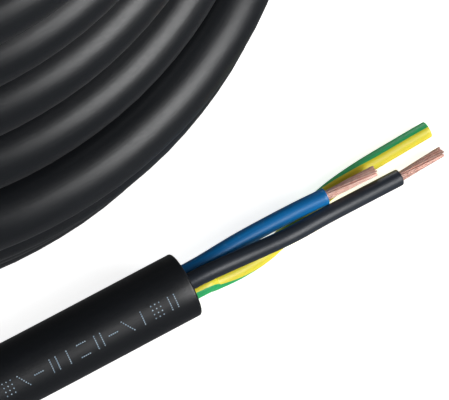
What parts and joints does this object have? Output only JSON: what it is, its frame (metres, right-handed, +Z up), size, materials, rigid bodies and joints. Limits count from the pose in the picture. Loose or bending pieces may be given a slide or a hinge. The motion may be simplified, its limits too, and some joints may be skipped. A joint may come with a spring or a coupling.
{
  "type": "rubber power cable coil",
  "caption": "Tied coil of heavy rubber-sheathed three-core power cable, with one end stripped to show its blue, black and earth cores.",
  "frame": {"origin": "on the floor, under the middle of the object's box", "axes": "+Z up along the coil's axis; the stripped end points 29.5 degrees left of +X, and the lead passes in front of the coil on its -Y side"},
  "size_m": [0.2502, 0.2584, 0.114],
  "materials": {
    "sheath_rubber": "satin black rubber",
    "blue_insulation": "smooth satin",
    "black_insulation": "smooth satin",
    "earth_insulation": "smooth satin, yellow with a green stripe",
    "bare_copper": "bare stranded copper wire",
    "tie_nylon": "black nylon"
  },
  "bodies": {
    "coil": {"cable_coil": "sheath_rubber", "lead_sheath": "sheath_rubber", "sheath_mouth": "sheath_rubber", "held_blue_insulation": "blue_insulation", "held_blue_conductor": "bare_copper", "held_black_insulation": "black_insulation", "held_black_conductor": "bare_copper", "held_earth_insulation": "earth_insulation", "held_earth_conductor": "bare_copper", "cut_end_sheath": "sheath_rubber", "cut_blue_insulation": "blue_insulation", "cut_blue_conductor": "bare_copper", "cut_black_insulation": "black_insulation", "cut_black_conductor": "bare_copper", "cut_earth_insulation": "earth_insulation", "cut_earth_conductor": "bare_copper", "coil_tie_1": "tie_nylon", "coil_tie_2": "tie_nylon", "coil_tie_3": "tie_nylon"},
    "blue_core": {"blue_insulation": "blue_insulation", "blue_conductor": "bare_copper"},
    "black_core": {"black_insulation": "black_insulation", "black_conductor": "bare_copper"},
    "earth_core": {"earth_insulation": "earth_insulation", "earth_conductor": "bare_copper"}
  },
  "joints": [
    {"name": "blue_core_lift", "type": "hinge", "parent": "coil", "child": "blue_core", "pos_m": [0.07174, -0.0762, 0.00663], "axis": [0.4924, -0.8704, 0], "range_deg": [0, 15]},
    {"name": "black_core_swing", "type": "hinge", "parent": "coil", "child": "black_core", "pos_m": [0.07332, -0.07898, 0.00942], "axis": [0, 0, -1], "range_deg": [0, 25]},
    {"name": "earth_core_swing", "type": "hinge", "parent": "coil", "child": "earth_core", "pos_m": [0.07372, -0.07969, 0.00525], "axis": [0, 0, 1], "range_deg": [0, 20]}
  ]
}
